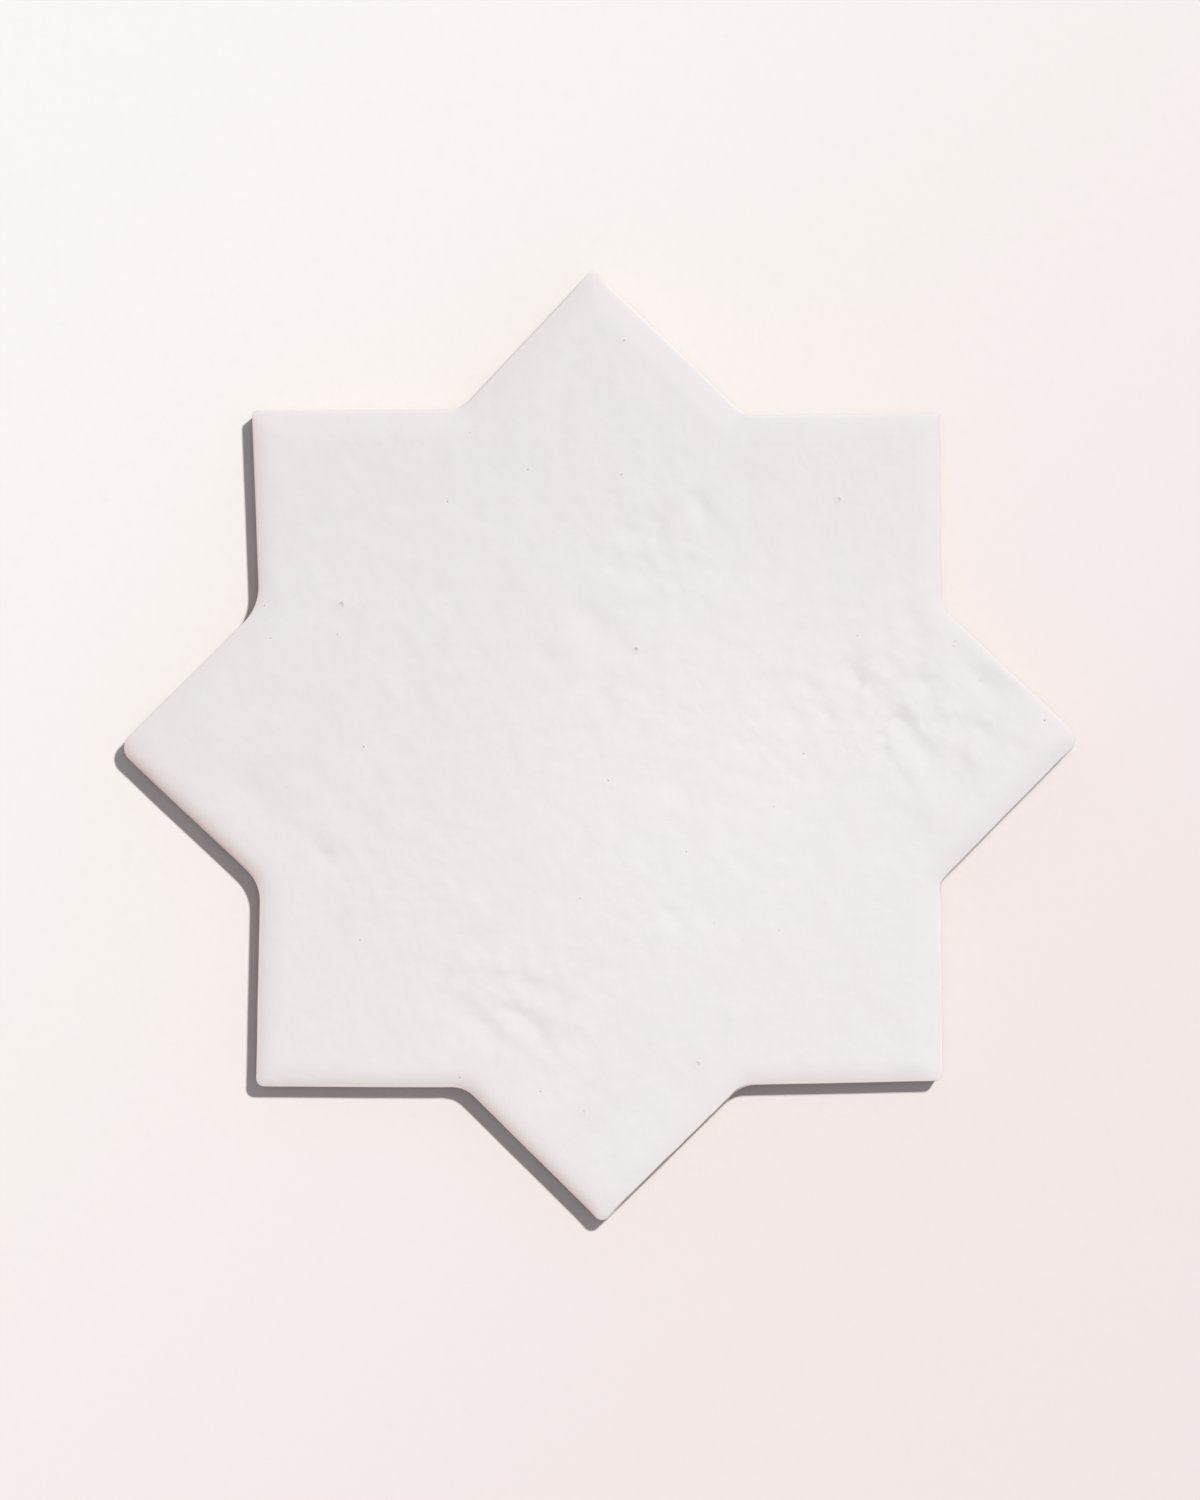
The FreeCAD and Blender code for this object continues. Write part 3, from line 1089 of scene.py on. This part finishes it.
def craters_object():
    """A loose point for each crater, with its sizes and stain, for the tree to read."""
    return mesh_object("crater_points", [(hole.x * MM, hole.y * MM, 0) for hole in CRATERS],
                       numbers={"radius": [hole.radius * MM for hole in CRATERS],
                                "depth": [hole.depth * MM for hole in CRATERS],
                                "stain": [hole.stain for hole in CRATERS]})


def set_inputs(modifier, values):
    """Sets a modifier's inputs, which are found by name and set by identifier."""
    found = {item.name: item.identifier for item in modifier.node_group.interface.items_tree
             if item.item_type == "SOCKET" and item.in_out == "INPUT"}
    for name, value in values.items():
        modifier[found[name]] = value


def made_plain(piece):
    """Turns a piece into the plain mesh that its modifiers give, and drops them."""
    ready = piece.evaluated_get(bpy.context.evaluated_depsgraph_get())
    mesh = bpy.data.meshes.new_from_object(ready)
    mesh.name = piece.name
    piece.modifiers.clear()
    piece.data = mesh


def opaque(rgb):
    """A colour with its fourth value."""
    return (*rgb, 1.0)


def cover_group():
    """Shader group: where the glaze lies, and the light and shade painted along the rim.

    On the sides that face the sun the rim gets a painted highlight and a painted sheen band; on
    the sides away from it, thin glaze darkened with painted shade. A pale lip and a dark line of
    bare clay and painted shadow lie on the arris. Two vectors bring what each side of the star
    got.
    """
    graph, given, result = new_tree(
        "Glaze cover", "ShaderNodeTree",
        {"Vector": ["Place", "Gathered", "Drained"], "Float": ["Rim"]},
        {"Float": ["Cover", *RIM_LOOKS]})
    bead, band, thin = graph.parts(given["Gathered"])
    lip, scorch, _ = graph.parts(given["Drained"])
    wander = graph.waves(graph.noise(given["Place"], GLAZE_EDGE), GLAZE_WANDER)
    inside = graph.total(given["Rim"], wander)
    run = graph.patches(graph.noise(given["Place"], GLAZE_RUNS), GLAZE_RUNS)
    end = graph.maths("SUBTRACT", GLAZE_END, graph.product(run, GLAZE_RUN_LENGTH))
    past_end = graph.maths("SUBTRACT", inside, end)
    graph.feed(result["Cover"], graph.spread(past_end, GLAZE_END_LOW, GLAZE_END_HIGH))

    depth = graph.maths("MAXIMUM", inside, 0.0)

    def fading(amount, reach):
        """An amount at the arris that fades away over a length."""
        return graph.product(graph.maths("EXPONENT", graph.maths("DIVIDE", depth, -reach)),
                             amount)

    # Thin glaze with painted shade, on the sides away from the sun.
    graph.feed(result["Thin"], fading(thin, THIN_AND_SHADE_REACH))
    # Painted highlight on the arris and a painted sheen band behind it, on the sides that face the
    # sun.
    painted_highlight = graph.maths("MINIMUM", fading(bead, HIGHLIGHT_REACH), 1.0)
    graph.feed(result["Bead"], graph.total(painted_highlight, fading(band, SHEEN_REACH)))
    # The lip and the dark line share this narrow line; the dark line is partly bare clay and
    # partly painted shadow.
    line = graph.spread(depth, LINE_INNER, LINE_OUTER)
    graph.feed(result["Lip"], graph.product(line, lip))
    graph.feed(result["Scorch"], graph.product(line, scorch))
    return graph.tree


def prick_group():
    """Shader group: how much of the brown shows in the pricks of the glaze."""
    graph, given, result = new_tree("Pricks", "ShaderNodeTree", {"Vector": ["Place"]},
                                    {"Float": ["Stain"]})
    flat = graph.vectors("MULTIPLY", given["Place"], (1.0, 1.0, 0.0))
    dots = []
    for prick in PRICKS:
        away = graph.vectors("DISTANCE", flat, (prick.x * MM, prick.y * MM, 0.0))
        dots.append(graph.spread(away, prick.radius * PRICK_OUTER * MM,
                                 prick.radius * PRICK_INNER * MM, 0.0, prick.stain))
    graph.feed(result["Stain"], graph.total(*dots))
    return graph.tree


def glaze_group():
    """Shader group: the satin glaze's colour, roughness and fine relief."""
    graph, given, result = new_tree(
        "Satin glaze", "ShaderNodeTree",
        {"Vector": ["Place"], "Float": [*GLAZE_LOOKS, "Roughness"],
         "Color": [look + " colour" for look in ("Glaze", "Cool", "Warm", *GLAZE_LOOKS)]},
        {"Color": ["Colour"], "Float": ["Roughness", "Height"]})
    place = given["Place"]
    broad = graph.noise(place, COOL_PATCHES)
    patchy = graph.noise(place, WARM_PATCHES)
    body = graph.mix(graph.patches(broad, COOL_PATCHES), given["Glaze colour"],
                     given["Cool colour"])
    body = graph.mix(graph.patches(patchy, WARM_PATCHES), body, given["Warm colour"])
    x, y, _ = graph.parts(place)
    from_pool = graph.maths("DIVIDE", graph.vectors("DISTANCE", place, POOL_CENTRE), POOL_WIDTH)
    tone = graph.total(graph.product(graph.bell(from_pool), POOL_TONE),
                       graph.product(graph.maths("SUBTRACT", x, y), TONE_SLOPE),
                       graph.waves(graph.noise(place, BLOTCHES), BLOTCH_TONE),
                       graph.spread(y, 0.0, TONE_SOUTH_END, TONE_NORTH, TONE_SOUTH))
    body = graph.vectors("MULTIPLY", body, tone)
    # Over the body go the rim's thin glaze with painted shade, its painted highlight, its lip, its
    # dark line of bare clay and painted shadow, and the pits.
    for look in GLAZE_LOOKS:
        body = graph.mix(given[look], body, given[look + " colour"])
    graph.feed(result["Colour"], body)
    rough = graph.total(graph.waves(patchy, ROUGHNESS_WANDER), given["Roughness"],
                        graph.product(given["Pit"], PIT_ROUGHNESS))
    graph.feed(result["Roughness"], rough)
    peel = graph.product(graph.noise(place, GLAZE_PEEL), PEEL_SHARE)
    grain = graph.product(graph.noise(place, GLAZE_GRAIN), 1 - PEEL_SHARE)
    graph.feed(result["Height"], graph.total(peel, grain))
    return graph.tree


def clay_group():
    """Shader group: the fired clay's colour and grain."""
    graph, given, result = new_tree(
        "Fired clay", "ShaderNodeTree",
        {"Vector": ["Place"], "Color": ["Clay", "Dark clay"]},
        {"Color": ["Colour"], "Float": ["Height"]})
    place = given["Place"]
    cloud = graph.noise(place, CLAY_CLOUDS)
    sand = graph.noise(place, CLAY_SAND)
    grog = graph.add("ShaderNodeTexVoronoi", {"Vector": place, "Scale": CLAY_GROG_SCALE},
                     feature="F1", voronoi_dimensions="3D").outputs["Distance"]
    body = graph.mix(graph.patches(cloud, CLAY_CLOUDS), given["Clay"], given["Dark clay"])
    body = graph.mix(graph.patches(sand, CLAY_SAND), body, given["Dark clay"])
    graph.feed(result["Colour"], body)
    grog = graph.product(graph.spread(grog, 0.0, GROG_PORE), 1 - SAND_SHARE)
    graph.feed(result["Height"], graph.total(graph.product(sand, SAND_SHARE), grog))
    return graph.tree


def new_material(name):
    """An empty material, with its graph."""
    material = bpy.data.materials.new(name)
    material.use_nodes = True
    material.node_tree.nodes.clear()
    return material, Graph(material.node_tree)


def finish_material(graph, shader, bump):
    """Gives a shader its bump, and the material its shader."""
    shade = graph.add("ShaderNodeBump", bump)
    graph.feed(shader.inputs["Normal"], shade.outputs["Normal"])
    graph.add("ShaderNodeOutputMaterial", {"Surface": shader.outputs["BSDF"]})


def tile_finish(settings):
    """The tile's material: satin glaze on fired clay, with bare clay where no glaze lies."""
    material, graph = new_material("satin_glaze_on_clay")

    def placed(group, inputs):
        """The outputs of a shader group, placed with its own values."""
        return graph.add("ShaderNodeGroup", inputs, node_tree=group).outputs

    def attribute(name, output):
        """An attribute of the tile, as a number or a vector."""
        return graph.add("ShaderNodeAttribute", attribute_name=name).outputs[output]

    place = graph.add("ShaderNodeTexCoord").outputs["Object"]
    pit = graph.total(attribute("pit", "Fac"), placed(prick_group(), {"Place": place})["Stain"])
    cover = placed(cover_group(), {
        "Place": place, "Rim": attribute("rim", "Fac"),
        "Gathered": attribute("gathered", "Vector"), "Drained": attribute("drained", "Vector")})
    colours = {"Glaze": settings.glaze, "Cool": settings.glaze_cool, "Warm": settings.glaze_warm,
               "Thin": settings.thin_glaze_and_shade, "Bead": settings.bead, "Lip": settings.lip,
               "Scorch": settings.scorch, "Pit": settings.pinhole_brown}
    looks = {"Place": place, "Pit": pit, "Roughness": settings.glaze_roughness}
    looks.update({look: cover[look] for look in RIM_LOOKS})
    looks.update({look + " colour": opaque(value) for look, value in colours.items()})
    glaze = placed(glaze_group(), looks)
    clay = placed(clay_group(), {
        "Place": place, "Clay": opaque(settings.clay), "Dark clay": opaque(settings.clay_dark)})
    rough = graph.blend(cover["Cover"], settings.clay_roughness, glaze["Roughness"])
    glaze_height = graph.maths("SUBTRACT", graph.product(glaze["Height"], GLAZE_BUMP),
                               graph.product(pit, PIT_BUMP))
    height = graph.blend(cover["Cover"], graph.product(clay["Height"], CLAY_BUMP), glaze_height)
    shader = graph.add("ShaderNodeBsdfPrincipled", {
        "IOR": 1.5, "Roughness": rough,
        "Base Color": graph.mix(cover["Cover"], clay["Colour"], glaze["Colour"])})
    finish_material(graph, shader, {"Strength": 1.0, "Distance": MM, "Height": height})
    return material


def table_finish(settings):
    """The table's material: matt paper, cream at the upper left and pinker to the lower right."""
    material, graph = new_material("matt_paper")
    place = graph.add("ShaderNodeTexCoord").outputs["Object"]
    x, y, _ = graph.parts(place)
    blush = graph.spread(graph.maths("SUBTRACT", x, y), BLUSH_START, BLUSH_END)
    fibre = graph.noise(place, PAPER_FIBRE)
    paper = graph.mix(blush, opaque(settings.table_cream), opaque(settings.table_pink))
    paper = graph.mix(graph.patches(fibre, PAPER_FIBRE), paper, opaque(FIBRE_COLOUR))
    shader = graph.add("ShaderNodeBsdfPrincipled", {
        "IOR": 1.45, "Roughness": 0.9, "Specular IOR Level": 0.2, "Base Color": paper})
    finish_material(graph, shader, {"Strength": 0.2, "Distance": 0.02 * MM, "Height": fibre})
    return material


class STARTILE_OT_tile(bpy.types.Operator):
    """Build the glazed star tile over the frame's plain one"""

    bl_idname = "star_tile.build_tile"
    bl_label = "Build the tile"

    def execute(self, context):
        settings = context.scene.star_tile
        tile = tile_shape(settings)
        helpers = {"Presses": marks_object("press_points", PRESSES),
                   "Lumpy patches": marks_object("patch_points", LUMPY_PATCHES),
                   "Craters": craters_object()}
        lengths = {name: getattr(settings, name.lower().replace(" ", "_"))
                   for name in TREE_LENGTHS}
        hand = tile.modifiers.new("hand_and_kiln", "NODES")
        hand.node_group = hand_and_kiln_tree()
        set_inputs(hand, {**helpers, **lengths, "Seed": settings.seed,
                          "Finish": tile_finish(settings)})
        made_plain(tile)
        for helper in helpers.values():
            bpy.data.objects.remove(helper)
        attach(tile, "root")
        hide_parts(TILE_NODE)
        return {"FINISHED"}


def distant_light(name, height, bearing, width, strength):
    """A light so far away that it is the same all over the table."""
    lamp = bpy.data.lights.new(name, "SUN")
    lamp.angle = width
    lamp.energy = strength
    light = linked_object(name, lamp)
    towards = Vector((math.cos(height) * math.cos(bearing),
                      math.cos(height) * math.sin(bearing), math.sin(height)))
    light.location = towards * LIGHT_DISTANCE
    light.rotation_mode = "QUATERNION"
    light.rotation_quaternion = towards.to_track_quat("Z", "Y")
    return light


class STARTILE_OT_stage(bpy.types.Operator):
    """Build the table, the lights and the camera"""

    bl_idname = "star_tile.build_stage"
    bl_label = "Build the stage"

    def execute(self, context):
        settings = context.scene.star_tile_stage
        scene = context.scene
        corners = [(right * TABLE_HALF, up * TABLE_HALF, 0)
                   for right, up in ((-1, -1), (1, -1), (1, 1), (-1, 1))]
        table = mesh_object("table", corners, [(0, 1, 2, 3)])
        table.data.materials.append(table_finish(settings))

        distant_light("sun", settings.sun_height, settings.sun_bearing, settings.sun_width,
                      settings.sun_strength)
        above = distant_light("above", math.radians(90), 0, settings.above_width,
                              settings.above_strength)
        above.data.color = settings.above
        above.visible_glossy = False
        world = bpy.data.worlds.new("room")
        world.use_nodes = True
        background = world.node_tree.nodes["Background"]
        background.inputs["Color"].default_value = opaque(settings.room)
        background.inputs["Strength"].default_value = settings.room_strength
        scene.world = world

        lens = bpy.data.cameras.new("camera")
        lens.lens = settings.camera_lens
        lens.sensor_width = SENSOR_WIDTH
        lens.clip_end = CAMERA_REACH
        camera = linked_object("camera", lens)
        camera.location = (settings.camera_right, -settings.camera_down, settings.camera_height)
        scene.camera = camera
        scene.view_settings.view_transform = "Standard"
        return {"FINISHED"}


class STARTILE_PT_panel(bpy.types.Panel):
    """The tile's and the stage's settings"""

    bl_label = "Star Tile"
    bl_space_type = "VIEW_3D"
    bl_region_type = "UI"
    bl_category = "Star Tile"

    def draw(self, context):
        for settings, operator in ((context.scene.star_tile, STARTILE_OT_tile),
                                   (context.scene.star_tile_stage, STARTILE_OT_stage)):
            box = self.layout.box()
            for name in settings.__annotations__:
                box.prop(settings, name)
            box.operator(operator.bl_idname)


CLASSES = (StarTileSettings, StarTileStageSettings, STARTILE_OT_tile, STARTILE_OT_stage,
           STARTILE_PT_panel)


def register():
    """Makes the settings, the operators and the panel known."""
    for entry in CLASSES:
        bpy.utils.register_class(entry)
    bpy.types.Scene.star_tile = bpy.props.PointerProperty(type=StarTileSettings)
    bpy.types.Scene.star_tile_stage = bpy.props.PointerProperty(type=StarTileStageSettings)


def unregister():
    """Takes them away again."""
    del bpy.types.Scene.star_tile_stage
    del bpy.types.Scene.star_tile
    for entry in reversed(CLASSES):
        bpy.utils.unregister_class(entry)


def main():
    """Builds the tile and the stage."""
    register()
    bpy.ops.star_tile.build_tile()
    bpy.ops.star_tile.build_stage()


if __name__ == "__main__":
    main()
